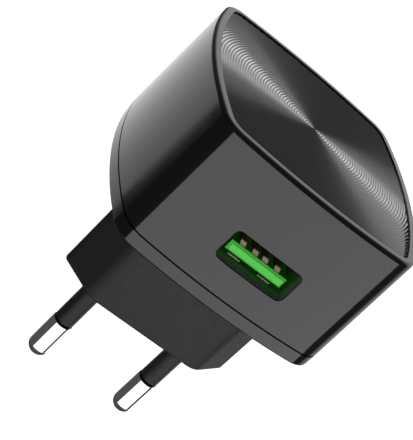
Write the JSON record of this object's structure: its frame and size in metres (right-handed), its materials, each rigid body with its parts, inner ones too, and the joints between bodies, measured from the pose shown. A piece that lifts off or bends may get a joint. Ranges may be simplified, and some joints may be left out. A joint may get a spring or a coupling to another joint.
{
  "type": "usb wall charger",
  "caption": "Compact black plug-in USB-A charger: flat round-pin plug boss behind, green port in one side and a grooved front plate.",
  "frame": {"origin": "centre of the plug face, between the two pins", "axes": "+Z away from the wall, pins along -Z side by side on X, port opening towards -Y"},
  "size_m": [0.0458, 0.051, 0.0624],
  "materials": {
    "housing_plastic": "glossy moulded polycarbonate",
    "cover_plastic": "glossy round the edge, fine spark texture on the plug boss",
    "plate_plastic": "fine concentric grooves",
    "sleeve_plastic": "satin moulded insulation",
    "pin_plating": "polished nickel plating on brass",
    "usb_green": "glossy moulded nylon",
    "usb_shell_steel": "plated spring sheet",
    "contact_plating": "thin gold flash on phosphor bronze",
    "strap_brass": "stamped",
    "board_laminate": "green solder mask on glass-fibre laminate",
    "ferrite": "sintered, matt",
    "bobbin_plastic": "moulded phenolic",
    "enamelled_copper": "enamelled wire, layer wound",
    "winding_tape": "polyester tape",
    "can_aluminium": "drawn can with sleeve",
    "bung_rubber": "moulded",
    "tinned_wire": "tinned copper-clad wire",
    "solder": "tin solder",
    "chip_epoxy": "moulded epoxy",
    "resistor_lacquer": "lacquered",
    "capacitor_lacquer": "dipped epoxy",
    "chip_ceramic": "sintered with tinned ends",
    "insulation_film": "cut polyester sheet"
  },
  "bodies": {
    "charger": {"main_housing": "housing_plastic", "rear_cover": "cover_plastic", "front_plate": "plate_plastic", "pin_left": "pin_plating", "pin_right": "pin_plating", "pin_sleeve_left": "sleeve_plastic", "pin_sleeve_right": "sleeve_plastic", "pin_strap_left": "strap_brass", "pin_strap_right": "strap_brass", "usb_shell": "usb_shell_steel", "usb_insulator": "usb_green", "usb_contact_tails": "contact_plating", "main_board": "board_laminate", "transformer_core_front": "ferrite", "transformer_core_rear": "ferrite", "transformer_bobbin": "bobbin_plastic", "primary_winding": "enamelled_copper", "secondary_winding": "enamelled_copper", "winding_tape": "winding_tape", "bulk_capacitor_left": "can_aluminium", "bulk_capacitor_right": "can_aluminium", "output_capacitor_left": "can_aluminium", "output_capacitor_right": "can_aluminium", "bulk_capacitor_bungs": "bung_rubber", "output_capacitor_bungs": "bung_rubber", "capacitor_leads": "tinned_wire", "choke_core": "ferrite", "choke_winding": "enamelled_copper", "coil_pins": "tinned_wire", "fusible_resistor": "resistor_lacquer", "y_capacitor": "capacitor_lacquer", "controller_chip": "chip_epoxy", "bridge_rectifier": "chip_epoxy", "sync_rectifier_chip": "chip_epoxy", "fast_charge_chip": "chip_epoxy", "optocoupler": "chip_epoxy", "chip_resistors": "chip_ceramic", "chip_capacitors": "chip_ceramic", "solder_joints": "solder", "insulation_sheet": "insulation_film"},
    "contact_1": {"usb_contact_1": "contact_plating"},
    "contact_2": {"usb_contact_2": "contact_plating"},
    "contact_3": {"usb_contact_3": "contact_plating"},
    "contact_4": {"usb_contact_4": "contact_plating"}
  },
  "joints": [
    {"name": "contact_1_flex", "type": "hinge", "parent": "charger", "child": "contact_1", "pos_m": [-0.0035, -0.0074, 0.02877], "axis": [1, 0, 0], "range_deg": [0, 3.5], "stiffness_Nm_per_rad": 0.139},
    {"name": "contact_2_flex", "type": "hinge", "parent": "charger", "child": "contact_2", "pos_m": [-0.001, -0.0074, 0.02877], "axis": [1, 0, 0], "range_deg": [0, 3.5], "stiffness_Nm_per_rad": 0.139},
    {"name": "contact_3_flex", "type": "hinge", "parent": "charger", "child": "contact_3", "pos_m": [0.001, -0.0074, 0.02877], "axis": [1, 0, 0], "range_deg": [0, 3.5], "stiffness_Nm_per_rad": 0.139},
    {"name": "contact_4_flex", "type": "hinge", "parent": "charger", "child": "contact_4", "pos_m": [0.0035, -0.0074, 0.02877], "axis": [1, 0, 0], "range_deg": [0, 3.5], "stiffness_Nm_per_rad": 0.139}
  ]
}
